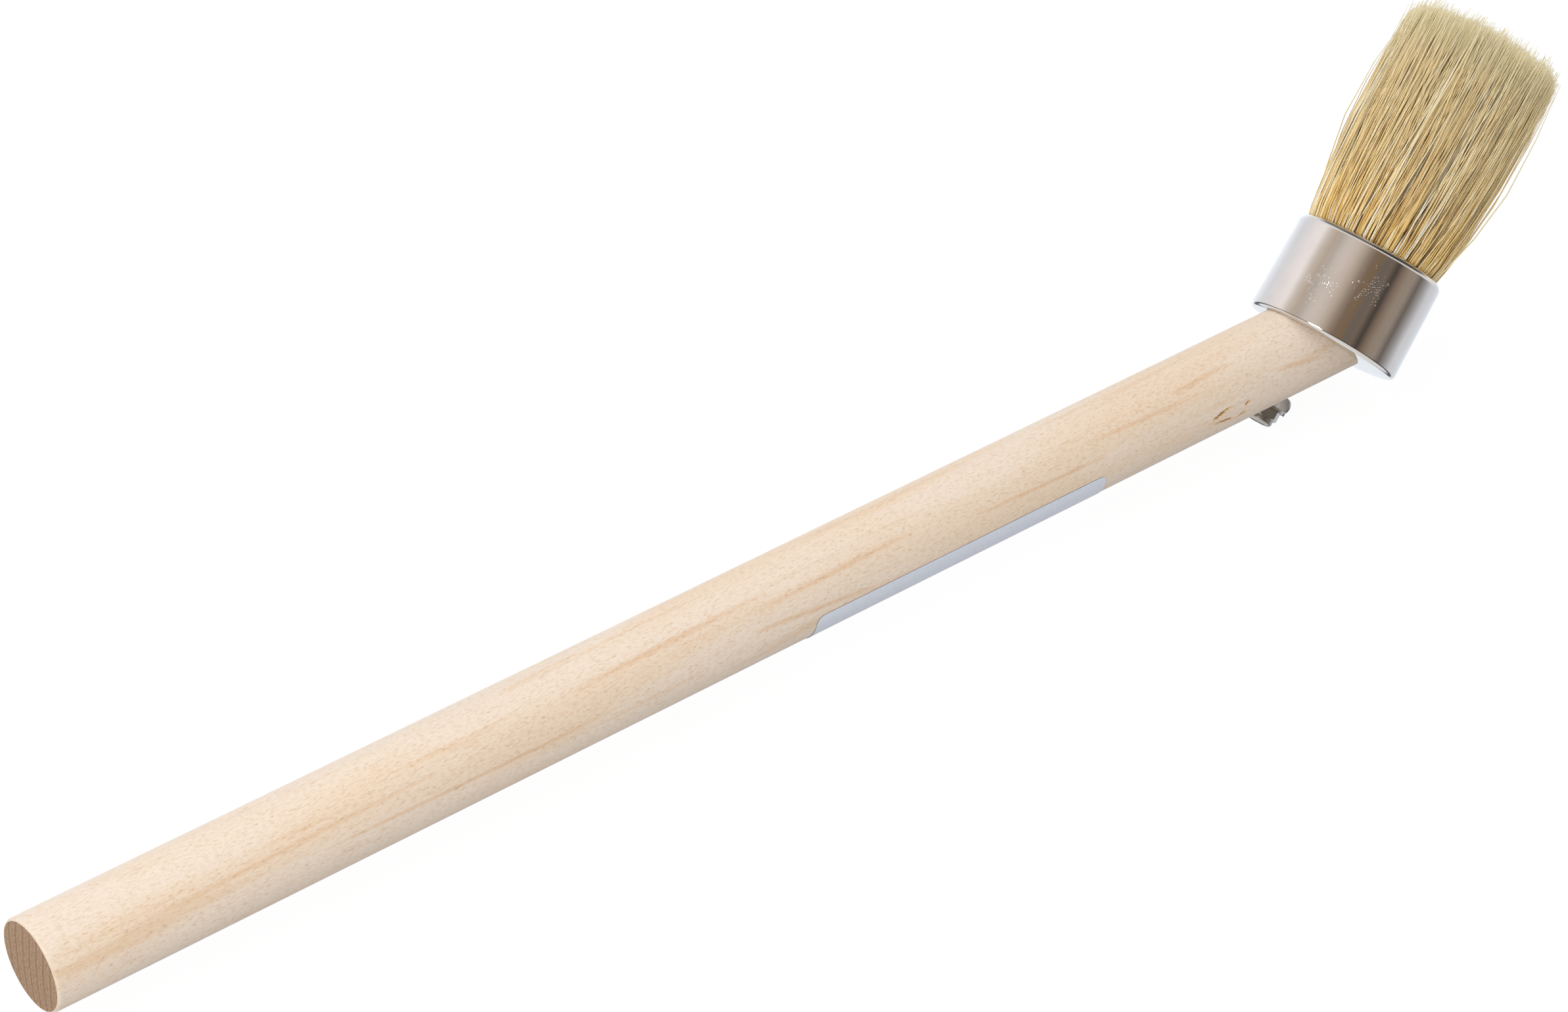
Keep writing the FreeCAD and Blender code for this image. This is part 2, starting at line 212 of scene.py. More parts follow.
def drilled(body, cutters):
    """The body's mesh with the cutters taken out of it."""
    blank = bpy.data.objects.new("blank", as_mesh(body))
    bpy.context.scene.collection.objects.link(blank)
    tools = [bpy.data.objects.new("tool", as_mesh(cutter)) for cutter in cutters]
    for tool in tools:
        bpy.context.scene.collection.objects.link(tool)
        hole = blank.modifiers.new("hole", "BOOLEAN")
        hole.operation = "DIFFERENCE"
        hole.solver = "EXACT"
        hole.object = tool
    bpy.context.view_layer.update()
    mesh = bpy.data.meshes.new_from_object(blank.evaluated_get(bpy.context.evaluated_depsgraph_get()))
    for used in (blank, *tools):
        bpy.data.objects.remove(used)
    return mesh


# Stations are close together where the grain is torn, and farther apart elsewhere.
stations = [3 * MM * n for n in range(1, 97)]
stations += [(290 + 0.35 * n) * MM for n in range(66)]
stations += [(314 + 4 * n) * MM for n in range(9)]
dowel = turned(
    [(0, 0, 0), (0, 0, 0.5 * handle_radius)]
    + arc(butt_round, handle_radius - butt_round, butt_round, 180, 90, 6)
    + [(x, 0, handle_radius) for x in stations if x < handle_length - 1 * MM]
    + [(handle_length, 0, handle_radius), (handle_length, 0, 0)],
    axis=(1, 0, 0),
    steps=320,
)
mitre_cut = bmesh.ops.bisect_plane(
    dowel,
    geom=list(dowel.verts) + list(dowel.edges) + list(dowel.faces),
    plane_co=mitre_middle,
    plane_no=head_up,
    clear_outer=True,
)
rim = [item for item in mitre_cut["geom_cut"] if isinstance(item, bmesh.types.BMEdge)]
bmesh.ops.edgeloop_fill(dowel, edges=rim)
bmesh.ops.recalc_face_normals(dowel, faces=dowel.faces)

handle_mesh = drilled(
    dowel,
    [
        rod(bolt_hole / 2, -60 * MM, 20 * MM, bolt_shift, head_frame),
        rod(seat_diameter / 2, -45 * MM, -seat_depth, bolt_shift, head_frame),
    ],
)

# The dowel's skin carries tan streaks as a tint, and chips of torn grain as shape: each chip is a ragged
# hollow with its fibres lifted along its rim.
handle_data = bmesh.new()
handle_data.from_mesh(handle_mesh)
torn = handle_data.verts.layers.float.new("torn")
streaked = handle_data.verts.layers.float.new("streaked")
for vert in handle_data.verts:
    x, y, z = vert.co
    across = Vector((0, y, z))
    if across.length < handle_radius - 0.05 * MM:
        continue
    round_it = math.atan2(z, -y) * handle_radius
    for start, start_angle, end, end_angle, width in tan_streaks:
        run = (x / MM - start) / (end - start)
        if 0 < run < 1:
            line = math.radians(start_angle + (end_angle - start_angle) * run) * handle_radius
            fade = max(0.0, 1 - abs(round_it - line) / (width * MM * 0.7))
            vert[streaked] = max(vert[streaked], fade * math.sin(math.pi * run) ** 0.5)
    if not 292 * MM < x < 313 * MM:
        continue
    ragged = noise.noise(Vector((x / (0.8 * MM), round_it / (0.5 * MM), 0)))
    for middle, angle, length, width, depth, lean in torn_chips:
        along = x - middle * MM
        beside = round_it - math.radians(angle) * handle_radius
        turn = math.radians(lean)
        u = (along * math.cos(turn) + beside * math.sin(turn)) / (length * MM / 2)
        v = (beside * math.cos(turn) - along * math.sin(turn)) / (width * MM / 2)
        reach = math.hypot(u, v) + 0.5 * ragged
        hollow = max(0.0, 1 - reach)
        rim_lift = max(0.0, 1 - abs(reach - 1.15) / 0.25)
        vert.co -= across.normalized() * depth * MM * (min(1, hollow * 2.2) - 0.28 * rim_lift)
        vert[torn] = max(vert[torn], min(1, hollow * 1.8), 0.4 * rim_lift)
bmesh.ops.triangulate(handle_data, faces=[face for face in handle_data.faces if len(face.verts) > 4])

# Sanded lime, matt and slightly fuzzy: the eye sees even cream wood, a few soft tan streaks 1 to 2 mm
# wide running a few degrees off the dowel, and a fine peppering of short fibre ends.
limewood, tree = new_material(
    "sanded_lime", Roughness=0.62, IOR=1.5, Specular_IOR_Level=0.3, Sheen_Weight=0.3, Sheen_Roughness=0.5
)
spot = add_node(tree, "ShaderNodeTexCoord", output="Object")
run_out = (0, math.radians(1.2), math.radians(3.2))
# One cycle of noise is 3.4 mm wide and 60 mm long, so the faint streaks are about 2 mm wide.
streak_at = add_node(
    tree, "ShaderNodeMapping",
    {"Vector": spot, "Rotation": run_out, "Scale": (1 / 0.060, 1 / 0.0034, 1 / 0.0034)},
)
streak = add_node(
    tree, "ShaderNodeTexNoise",
    {"Vector": streak_at, "Scale": 1.0, "Detail": 3.0, "Roughness": 0.55, "Distortion": 0.35},
)
streak_mask = add_node(tree, "ShaderNodeValToRGB", {"Fac": streak}, [(0.57, 0.0), (0.66, 0.4), (0.76, 0.6)])
# Broad drift of colour, 12 mm wide and 90 mm long.
drift_at = add_node(
    tree, "ShaderNodeMapping",
    {"Vector": spot, "Rotation": run_out, "Scale": (1 / 0.090, 1 / 0.012, 1 / 0.012)},
)
drift = add_node(tree, "ShaderNodeTexNoise", {"Vector": drift_at, "Scale": 1.0, "Detail": 2.0})
# Fibre ends 0.4 mm across and 1.2 mm long.
fibre_at = add_node(
    tree, "ShaderNodeMapping",
    {"Vector": spot, "Rotation": run_out, "Scale": (1 / 0.0012, 1 / 0.0004, 1 / 0.0004)},
)
fibre = add_node(
    tree, "ShaderNodeTexNoise", {"Vector": fibre_at, "Scale": 1.0, "Detail": 3.0, "Roughness": 0.65}
)
base = add_node(
    tree, "ShaderNodeValToRGB", {"Fac": drift}, [(0.38, "#EAD9C7"), (0.5, "#ECDBC9"), (0.64, "#EAD4BC")]
)
with_faint = add_node(
    tree, "ShaderNodeMix", {"Factor": streak_mask, "A": base, "B": linear("#E0C09A")}, data_type="RGBA"
)
tan_line = add_node(tree, "ShaderNodeAttribute", output="Fac", attribute_name="streaked")
tan_broken = add_node(tree, "ShaderNodeMath", {0: tan_line, 1: streak}, operation="MULTIPLY")
tan_mask = add_node(tree, "ShaderNodeValToRGB", {"Fac": tan_broken}, [(0.06, 0.0), (0.45, 0.55)])
with_streaks = add_node(
    tree, "ShaderNodeMix", {"Factor": tan_mask, "A": with_faint, "B": linear("#DDB386")}, data_type="RGBA"
)
fibre_tint = add_node(
    tree, "ShaderNodeValToRGB", {"Fac": fibre}, [(0.26, "#D3BA9C"), (0.36, "#F3EAE0"), (0.55, "#FFFFFF")]
)
with_fibres = add_node(
    tree, "ShaderNodeMix", {"Factor": 0.85, "A": with_streaks, "B": fibre_tint}, data_type="RGBA",
    blend_type="MULTIPLY",
)
# A chip's colour follows its depth: tan torn fibres along its rim, and a darker brown deeper in the hollow
# that is partly the torn fibres' own colour and partly painted shade in the recess.
torn_depth = add_node(tree, "ShaderNodeAttribute", output="Fac", attribute_name="torn")
torn_fibre_and_shade_colour = add_node(
    tree, "ShaderNodeValToRGB", {"Fac": torn_depth}, [(0.05, "#F1DFC8"), (0.45, "#D8B384"), (0.95, "#A5794C")]
)
torn_fibre_and_shade_mask = add_node(tree, "ShaderNodeValToRGB", {"Fac": torn_depth}, [(0.02, 0.0), (0.25, 1.0)])
lime_colour = add_node(
    tree, "ShaderNodeMix", {"Factor": torn_fibre_and_shade_mask, "A": with_fibres, "B": torn_fibre_and_shade_colour}, data_type="RGBA"
)
lime_bump = add_node(tree, "ShaderNodeBump", {"Height": fibre, "Strength": 0.3, "Distance": 0.06 * MM})
to_shader(tree, Base_Color=lime_colour, Normal=lime_bump)

# Sawn end grain: the same lime cut across, so it drinks light and looks brown, with growth rings that
# run nearly straight over it.
end_grain, tree = new_material("sawn_lime_end", Roughness=0.8, IOR=1.5, Specular_IOR_Level=0.2)
spot = add_node(tree, "ShaderNodeTexCoord", output="Object")
# The pith is 55 mm away to one side, and the rings are 2.4 mm apart.
pith_at = add_node(tree, "ShaderNodeMapping", {"Vector": spot, "Location": (0, 0.055, 0.012)})
rings = add_node(
    tree, "ShaderNodeTexWave",
    {"Vector": pith_at, "Scale": 0.314 / 0.0024, "Distortion": 1.6, "Detail": 3.0, "Detail Scale": 0.6},
    wave_type="RINGS", rings_direction="X",
)
ring_colour = add_node(
    tree, "ShaderNodeValToRGB", {"Fac": rings}, [(0.0, "#AE937A"), (0.55, "#B99D82"), (1.0, "#A0846B")]
)
pores = add_node(tree, "ShaderNodeTexNoise", {"Vector": spot, "Scale": 1 / 0.0006, "Detail": 2.0})
pore_tint = add_node(tree, "ShaderNodeValToRGB", {"Fac": pores}, [(0.3, "#DCD0C4"), (0.65, "#FFFFFF")])
end_colour = add_node(
    tree, "ShaderNodeMix", {"Factor": 1.0, "A": ring_colour, "B": pore_tint}, data_type="RGBA",
    blend_type="MULTIPLY",
)
end_bump = add_node(tree, "ShaderNodeBump", {"Height": pores, "Strength": 0.3, "Distance": 0.08 * MM})
to_shader(tree, Base_Color=end_colour, Normal=end_bump)

# The sawn faces are the butt, the mitre, and the walls of the bolt hole and the notch.
skin_depth = 0.6 * MM
for face in handle_data.faces:
    middle = face.calc_center_median()
    across = Vector((0, middle.y, middle.z)).length
    sawn_butt = middle.x < 0.02 * MM
    butt_edge = middle.x < 1 * MM
    on_skin = across > handle_radius - skin_depth and middle.x < handle_length - 0.1 * MM
    face.material_index = 1 if sawn_butt or not (on_skin or butt_edge) else 0
finish_piece("dowel_handle", as_mesh(handle_data), [limewood, end_grain], "handle")


# ---------------------------------------------------------------- label
# A paper sticker with round corners, wrapped round the underside of the handle. Its front edge lies just
# below the handle's side, and its print is left out. It is cut flat, bent round the dowel and thickened.

label_low, label_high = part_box("label")
label_length = label_high.x - label_low.x
label_width = 24 * MM
label_edge_angle = math.radians(-10)
label_corner = 2 * MM
label_thick = 0.12 * MM

sticker = bmesh.new()
bmesh.ops.create_grid(sticker, x_segments=1, y_segments=1, size=0.5)
bmesh.ops.scale(sticker, verts=sticker.verts, vec=(label_length, label_width, 1))
bmesh.ops.bevel(
    sticker, geom=sticker.verts[:], offset=label_corner, segments=8, profile=0.5,
    affect="VERTICES", material=-1,
)
bmesh.ops.translate(sticker, verts=sticker.verts, vec=(label_low.x + label_length / 2, -label_width / 2, 0))
# It is cut into strips across its width so that it bends smoothly.
bends = 48
for step in range(1, bends):
    bmesh.ops.bisect_plane(
        sticker, geom=sticker.verts[:] + sticker.edges[:] + sticker.faces[:],
        plane_co=(0, -label_width * step / bends, 0), plane_no=(0, 1, 0),
    )
for vert in sticker.verts:
    angle = label_edge_angle + vert.co.y / handle_radius
    vert.co = (vert.co.x, -handle_radius * math.cos(angle), handle_radius * math.sin(angle))
bmesh.ops.recalc_face_normals(sticker, faces=sticker.faces)
facing_out = 0.0
for face in sticker.faces:
    middle = face.calc_center_median()
    facing_out += face.normal.dot(Vector((0, middle.y, middle.z)))
if facing_out < 0:
    bmesh.ops.reverse_faces(sticker, faces=sticker.faces)
bmesh.ops.solidify(sticker, geom=sticker.faces[:], thickness=-label_thick)

# Coated label paper: pale blue grey with a dull sheen and a touch of cockle. Its cut edge carries painted
# shade, a dark grey line standing for the shadow along the label's edge.
label_paper, tree = new_material("coated_label_paper", Roughness=0.42, IOR=1.5, Specular_IOR_Level=0.4)
spot = add_node(tree, "ShaderNodeTexCoord", output="Object")
fuzz = add_node(tree, "ShaderNodeTexNoise", {"Vector": spot, "Scale": 1 / 0.0009, "Detail": 3.0})
paper_colour = add_node(tree, "ShaderNodeValToRGB", {"Fac": fuzz}, [(0.3, "#DADFEB"), (0.7, "#E2E6F0")])
cockle = add_node(tree, "ShaderNodeTexNoise", {"Vector": spot, "Scale": 1 / 0.009, "Detail": 1.0})
paper_bump = add_node(tree, "ShaderNodeBump", {"Height": cockle, "Strength": 0.25, "Distance": 0.1 * MM})
to_shader(tree, Base_Color=paper_colour, Normal=paper_bump)
# Painted shadow: the label's thin cut edge is coloured dark grey to stand for the shadow line along its edge.
painted_edge_shade, tree = new_material("label_edge_painted_shadow", Roughness=0.8, IOR=1.5, Specular_IOR_Level=0.2)
spot = add_node(tree, "ShaderNodeTexCoord", output="Object")
edge_shade_noise = add_node(tree, "ShaderNodeTexNoise", {"Vector": spot, "Scale": 1 / 0.0015, "Detail": 2.0})
edge_shade_colour = add_node(tree, "ShaderNodeValToRGB", {"Fac": edge_shade_noise}, [(0.3, "#6F6A66"), (0.7, "#8A847E")])
to_shader(tree, Base_Color=edge_shade_colour)
# Faces on the label's thin edge take the painted edge shadow.
for face in sticker.faces:
    middle = face.calc_center_median()
    outward = Vector((0, middle.y, middle.z)).normalized()
    face.material_index = 0 if abs(face.normal.dot(outward)) > 0.5 else 1
finish_piece("paper_label", as_mesh(sticker), [label_paper, painted_edge_shade], "label")


# ---------------------------------------------------------------- bolt, nut and washers
# An M4 pan-head bolt runs from inside the cup through the handle to a lock nut with a round collar. A
# wide washer spreads its pull over the cup's bottom, and a thin washer with a bent-up tab sits under the
# nut. All are turned or stamped steel, plated, and the nut's collar grips with a nylon ring.


def eased(node_name, width):
    """A CAD node, given merged corners and a small round on each edge sharper than 30 degrees."""
    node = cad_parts[node_name]
    weld = node.modifiers.new("weld", "WELD")
    weld.merge_threshold = 0.002 * MM
    ease = node.modifiers.new("ease", "BEVEL")
    ease.limit_method = "ANGLE"
    ease.angle_limit = math.radians(30)
    ease.width = width
    ease.segments = 2
    ease.use_clamp_overlap = True
    return node


def dress(node, material):
    """Put one material on every slot of a CAD node."""
    node.data.materials.clear()
    node.data.materials.append(material)


# Nickel-plated steel, tumbled: a warm grey with fine scratches and a soft, uneven gloss.
nut_plate, tree = new_material("tumbled_nickel_plate", Metallic=1.0)
spot = add_node(tree, "ShaderNodeTexCoord", output="Object")
tarnish = add_node(tree, "ShaderNodeTexNoise", {"Vector": spot, "Scale": 1 / 0.0035, "Detail": 4.0})
nut_colour = add_node(tree, "ShaderNodeValToRGB", {"Fac": tarnish}, [(0.3, "#A9A69F"), (0.65, "#BFBCB6")])
nut_rough = add_node(tree, "ShaderNodeMapRange", {"Value": tarnish, "To Min": 0.28, "To Max": 0.4})
scuffs = add_node(tree, "ShaderNodeTexNoise", {"Vector": spot, "Scale": 1 / 0.0004, "Detail": 2.0})
nut_bump = add_node(tree, "ShaderNodeBump", {"Height": scuffs, "Strength": 0.15, "Distance": 0.02 * MM})
to_shader(tree, Base_Color=nut_colour, Roughness=nut_rough, Normal=nut_bump)
dress(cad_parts["lock_nut"], nut_plate)
dress(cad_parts["tab_washer"], nut_plate)

# Zinc plate: bluish grey, duller than the nickel, with a fine crystalline mottle.
zinc_plate, tree = new_material("bright_zinc_plate", Metallic=1.0)
spot = add_node(tree, "ShaderNodeTexCoord", output="Object")
crystals = add_node(tree, "ShaderNodeTexVoronoi", {"Vector": spot, "Scale": 1 / 0.0008}, output="Color")
crystal_grey = add_node(tree, "ShaderNodeRGBToBW", {"Color": crystals})
zinc_colour = add_node(
    tree, "ShaderNodeValToRGB", {"Fac": crystal_grey}, [(0.2, "#B4B9BE"), (0.8, "#CBCFD2")]
)
zinc_rough = add_node(tree, "ShaderNodeMapRange", {"Value": crystal_grey, "To Min": 0.25, "To Max": 0.4})
to_shader(tree, Base_Color=zinc_colour, Roughness=zinc_rough)
dress(eased("pan_head_bolt", 0.1 * MM), zinc_plate)
dress(eased("inner_washer", 0.1 * MM), zinc_plate)

# Moulded nylon: milky white, with a faint waxy sheen.
nylon, tree = new_material(
    "moulded_nylon", Roughness=0.45, IOR=1.53, Subsurface_Weight=0.1, Subsurface_Scale=0.5 * MM
)
spot = add_node(tree, "ShaderNodeTexCoord", output="Object")
haze = add_node(tree, "ShaderNodeTexNoise", {"Vector": spot, "Scale": 1 / 0.001, "Detail": 2.0})
nylon_colour = add_node(tree, "ShaderNodeValToRGB", {"Fac": haze}, [(0.3, "#DAD8CF"), (0.7, "#E8E6DF")])
to_shader(tree, Base_Color=nylon_colour)
dress(eased("nylon_insert", 0.08 * MM), nylon)


# ---------------------------------------------------------------- ferrule cup
# A drawn steel cup, nickel plated and polished: a slight taper, a small round at its base, and a lip
# rolled in over the bristles. It is turned as one thin shell and drilled for the bolt.

cup_shift = 3.5 * MM
cup_radius = 18.5 * MM
cup_mouth = 18.1 * MM
cup_height = 24 * MM
cup_wall = 0.6 * MM
cup_base_round = 1.1 * MM
cup_lip = 2 * MM
cup_lip_round = 1.8 * MM
cup_frame = head_frame @ Matrix.Translation((cup_shift, 0, 0))

lip_end = [
    (cup_mouth - cup_lip + 0.1 * MM, 0, cup_height),
    (cup_mouth - cup_lip, 0, cup_height - 0.15 * MM),
    (cup_mouth - cup_lip, 0, cup_height - cup_wall + 0.15 * MM),
    (cup_mouth - cup_lip + 0.1 * MM, 0, cup_height - cup_wall),
]
cup = turned(
    [(0, 0, 0), (cup_radius / 2, 0, 0)]
    + arc(cup_radius - cup_base_round, cup_base_round, cup_base_round, 270, 360, 8)
    + [(cup_radius + (cup_mouth - cup_radius) * n / 6, 0, cup_height * n / 6) for n in range(1, 5)]
    + arc(cup_mouth - cup_lip_round, cup_height - cup_lip_round, cup_lip_round, 0, 90, 12)
    + lip_end
    + arc(cup_mouth - cup_lip_round, cup_height - cup_lip_round, cup_lip_round - cup_wall, 90, 0, 8)
    + [(cup_radius - cup_wall, 0, cup_base_round)]
    + arc(cup_radius - cup_base_round, cup_base_round, cup_base_round - cup_wall, 0, -90, 5)
    + [(0, 0, cup_wall)],
    axis=(0, 0, 1),
    steps=192,
)
bmesh.ops.transform(cup, verts=cup.verts, matrix=cup_frame)
cup_mesh = drilled(cup, [rod(bolt_hole / 2, -5 * MM, 5 * MM, bolt_shift, head_frame)])

# Polished nickel plate: a warm mirror, hazed a little by handling, with patches of fine pits.
nickel, tree = new_material("polished_nickel_plate", Metallic=1.0)
spot = add_node(tree, "ShaderNodeTexCoord", output="Object")
smear = add_node(
    tree, "ShaderNodeTexNoise", {"Vector": spot, "Scale": 1 / 0.007, "Detail": 4.0, "Roughness": 0.6}
)
smear_rough = add_node(
    tree, "ShaderNodeMapRange",
    {"Value": smear, "From Min": 0.35, "From Max": 0.7, "To Min": 0.04, "To Max": 0.11},
)
nickel_colour = add_node(tree, "ShaderNodeValToRGB", {"Fac": smear}, [(0.35, "#DAD6D1"), (0.65, "#D5D1CC")])
# Pits 0.3 mm across, gathered in two patches on the side towards the butt.
speckle = add_node(tree, "ShaderNodeTexNoise", {"Vector": spot, "Scale": 1 / 0.0016, "Detail": 2.0})
near_heel = head_frame @ Vector((cup_shift - 17.4 * MM, -6 * MM, 10 * MM))
near_front = head_frame @ Vector((cup_shift - 11 * MM, -14.7 * MM, 14 * MM))
heel_reach, front_reach = (
    add_node(tree, "ShaderNodeVectorMath", {0: spot, 1: middle}, output="Value", operation="DISTANCE")
    for middle in (near_heel, near_front)
)
nearer = add_node(tree, "ShaderNodeMath", {0: heel_reach, 1: front_reach}, operation="MINIMUM")
patch = add_node(
    tree, "ShaderNodeMapRange",
    {"Value": nearer, "From Min": 0.5 * MM, "From Max": 7.0 * MM, "To Min": 0.60, "To Max": 0.2},
)
patchy = add_node(tree, "ShaderNodeMath", {0: patch, 1: speckle}, operation="ADD")
patch_mask = add_node(tree, "ShaderNodeValToRGB", {"Fac": patchy}, [(0.92, 0.0), (1.0, 1.0)])
pits = add_node(tree, "ShaderNodeTexVoronoi", {"Vector": spot, "Scale": 1 / 0.00045}, output="Distance")
pit_mask = add_node(tree, "ShaderNodeValToRGB", {"Fac": pits}, [(0.12, 1.0), (0.42, 0.0)])
pit_depth = add_node(tree, "ShaderNodeMath", {0: patch_mask, 1: pit_mask}, operation="MULTIPLY")
nickel_bump = add_node(tree, "ShaderNodeBump", {"Height": pit_depth, "Strength": 0.6, "Distance": 0.05 * MM})
to_shader(tree, Base_Color=nickel_colour, Roughness=smear_rough, Normal=nickel_bump)
finish_piece("ferrule_shell", cup_mesh, [nickel], "ferrule_cup", sharp_angle=50)


# ---------------------------------------------------------------- resin and root binding
# The bristle roots are tied with five turns of twine and cast into the cup's bottom with amber resin,
# which also covers the bolt's head.

resin, tree = new_material("cast_resin", Roughness=0.2, IOR=1.54, Coat_Weight=0.3)
spot = add_node(tree, "ShaderNodeTexCoord", output="Object")
swirl = add_node(
    tree, "ShaderNodeTexNoise", {"Vector": spot, "Scale": 1 / 0.006, "Detail": 3.0, "Distortion": 0.8}
)
resin_colour = add_node(tree, "ShaderNodeValToRGB", {"Fac": swirl}, [(0.3, "#6B4520"), (0.7, "#8F6431")])
to_shader(tree, Base_Color=resin_colour)
dress(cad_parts["resin_plug"], resin)

# Waxed cotton twine: dull cream brown, twisted, its lay 0.9 mm apart.
twine, tree = new_material("waxed_twine", Roughness=0.7, IOR=1.5)
spot = add_node(tree, "ShaderNodeTexCoord", output="Object")
lay = add_node(
    tree, "ShaderNodeTexWave", {"Vector": spot, "Scale": 0.314 / 0.0009, "Distortion": 1.5},
    bands_direction="DIAGONAL",
)
twine_colour = add_node(tree, "ShaderNodeValToRGB", {"Fac": lay}, [(0.1, "#A08A66"), (0.9, "#CBB892")])
twine_bump = add_node(tree, "ShaderNodeBump", {"Height": lay, "Strength": 0.5, "Distance": 0.1 * MM})
to_shader(tree, Base_Color=twine_colour, Normal=twine_bump)
dress(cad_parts["root_binding"], twine)


# ---------------------------------------------------------------- bristles
# Blond hog bristle, several thousand hairs of about 0.3 mm, thinning to their tips. They stand in the
# resin, are held in by the lip, swell over it, and gather in loose clumps. A few dark or bent hairs stray.

bristle_count = 9900
bristle_pieces = ("bristles_core", "bristles_middle", "bristles_outer")
root_height = 8 * MM
tip_height = 79 * MM
tip_round = 2.6 * MM
# Radius of the bundle at heights above the mitre: in the resin, at the lip, just over it, belly, tips.
bundle = ((8, 15.6), (23, 15.9), (27.5, 17.0), (36, 17.7), (49, 18.1), (65, 17.9), (79, 17.5))
levels = (0.0, 0.21, 0.28, 0.42, 0.6, 0.8, 1.0)
hair_radius = 0.155 * MM
# How much the hairs differ: where they end, how far their tips lean across and outward, and how they bow.
end_spread = 1.0 * MM
lean_across = 2.7 * MM
lean_outward = 0.4 * MM
bow_spread = 0.4 * MM
golden_turn = math.pi * (3 - math.sqrt(5))
random.seed(20)


def bundle_radius(height):
    """Radius of the bundle at a height, between the listed ones."""
    return float(np.interp(height / MM, [h for h, _ in bundle], [r for _, r in bundle])) * MM


def share_of_strays(number):
    """How likely a bristle is to stray: only those near the bundle's skin do."""
    return 0.06 if number > 0.86 * bristle_count else 0.002


def gather(x, y, z, pattern):
    """Sideways shift in mm that draws hairs into small clumps and broad waves, one pattern per direction."""
    clump = noise.noise(Vector((x / (3.4 * MM), y / (3.4 * MM), pattern + z / (60 * MM))))
    wave = noise.noise(Vector((x / (9 * MM), y / (9 * MM), pattern + 3 + z / (80 * MM))))
    return 0.55 * clump + 0.5 * wave


def bristle_path(number, stray):
    """Points of one bristle in the cup's frame, from its root in the resin to its tip."""
    share = math.sqrt((number + random.random()) / bristle_count)
    turn = number * golden_turn + random.gauss(0, 0.02)
    # The tips are cut to a flat end with a rounded edge, and its middle is a little uneven.
    rim = max(0.0, 1 - (1 - share) * bundle_radius(tip_height) / tip_round)
    dome = tip_round * (1 - math.sqrt(max(0.0, 1 - rim * rim)))
    uneven = 1.6 * MM * noise.noise(Vector((share * 4 * math.cos(turn), share * 4 * math.sin(turn), 7)))
    tip = tip_height - dome - abs(random.gauss(0, end_spread)) + min(0, uneven)
    drift = random.gauss(0, lean_across)
    splay = random.gauss(0, lean_outward)
    bow = random.gauss(0, bow_spread)
    # Some hairs stand proud of the cut, and some in the skin lean out.
    if random.random() < 0.14:
        tip += random.uniform(0.4, 2.6) * MM
    if share > 0.9 and random.random() < 0.2:
        splay = random.uniform(0.5, 2.2) * MM
    if stray:
        splay = random.uniform(0.8, 3.4) * MM
        drift = random.gauss(0, 2.4) * MM
        bow = random.gauss(0, 1.2) * MM
        tip -= random.uniform(0, 6) * MM
    points = []
    for level in levels:
        z = root_height + level * (tip - root_height)
        free = max(0.0, (z - cup_height) / (tip_height - cup_height))
        r = share * bundle_radius(z) + splay * free**1.6 + bow * math.sin(math.pi * free)
        side = drift * free + bow * math.sin(math.pi * free)
        x = r * math.cos(turn) - side * math.sin(turn)
        y = r * math.sin(turn) + side * math.cos(turn)
        freed = free**0.8 * MM
        points.append((x + freed * gather(x, y, z, 0), y + freed * gather(x, y, z, 20), z))
    return points


def bristles(name, numbers):
    """One mesh of many bristles. Its UV map holds a random tone, and the place along the bristle."""
    curve = bpy.data.curves.new(name, "CURVE")
    curve.dimensions = "3D"
    curve.bevel_depth = hair_radius
    curve.bevel_resolution = 0
    curve.use_fill_caps = True
    curve.fill_mode = "FULL"
    tones = []
    for number in numbers:
        stray = share_of_strays(number) > random.random()
        spline = curve.splines.new("POLY")
        spline.points.add(len(levels) - 1)
        thick = random.uniform(0.75, 1.15)
        for place, (point, level) in enumerate(zip(bristle_path(number, stray), levels)):
            spline.points[place].co = (*point, 1)
            spline.points[place].radius = thick * (1 - 0.62 * level**3)
        tones.append(random.random())
    drawn = bpy.data.objects.new(name, curve)
    bpy.context.scene.collection.objects.link(drawn)
    bpy.context.view_layer.update()
    mesh = bpy.data.meshes.new_from_object(drawn.evaluated_get(bpy.context.evaluated_depsgraph_get()))
    bpy.data.objects.remove(drawn)
    mesh.transform(cup_frame)
    # The mesh holds the two end caps of every bristle, last bristle first, and then each bristle's rings
    # of four corners from root to tip, so a corner's number gives its bristle and its place.
    corners = np.empty(len(mesh.loops), dtype=np.int32)
    mesh.loops.foreach_get("vertex_index", corners)
    count, rings = len(tones), len(levels)
    in_rings = corners - 8 * count
    own = np.where(in_rings < 0, count - 1 - corners // 8, in_rings // (4 * rings))
    cap_ring = np.where(corners % 8 < 4, rings - 1, 0)
    along = np.where(in_rings < 0, cap_ring, (in_rings % (4 * rings)) // 4)
    uv = np.stack([np.array(tones)[own], np.array(levels)[along]], axis=1).astype(np.float32)
    mesh.uv_layers[0].uv.foreach_set("vector", uv.ravel())
    closed = bmesh.new()
    closed.from_mesh(mesh)
    bmesh.ops.remove_doubles(closed, verts=closed.verts, dist=0.002 * MM)
    return as_mesh(closed)


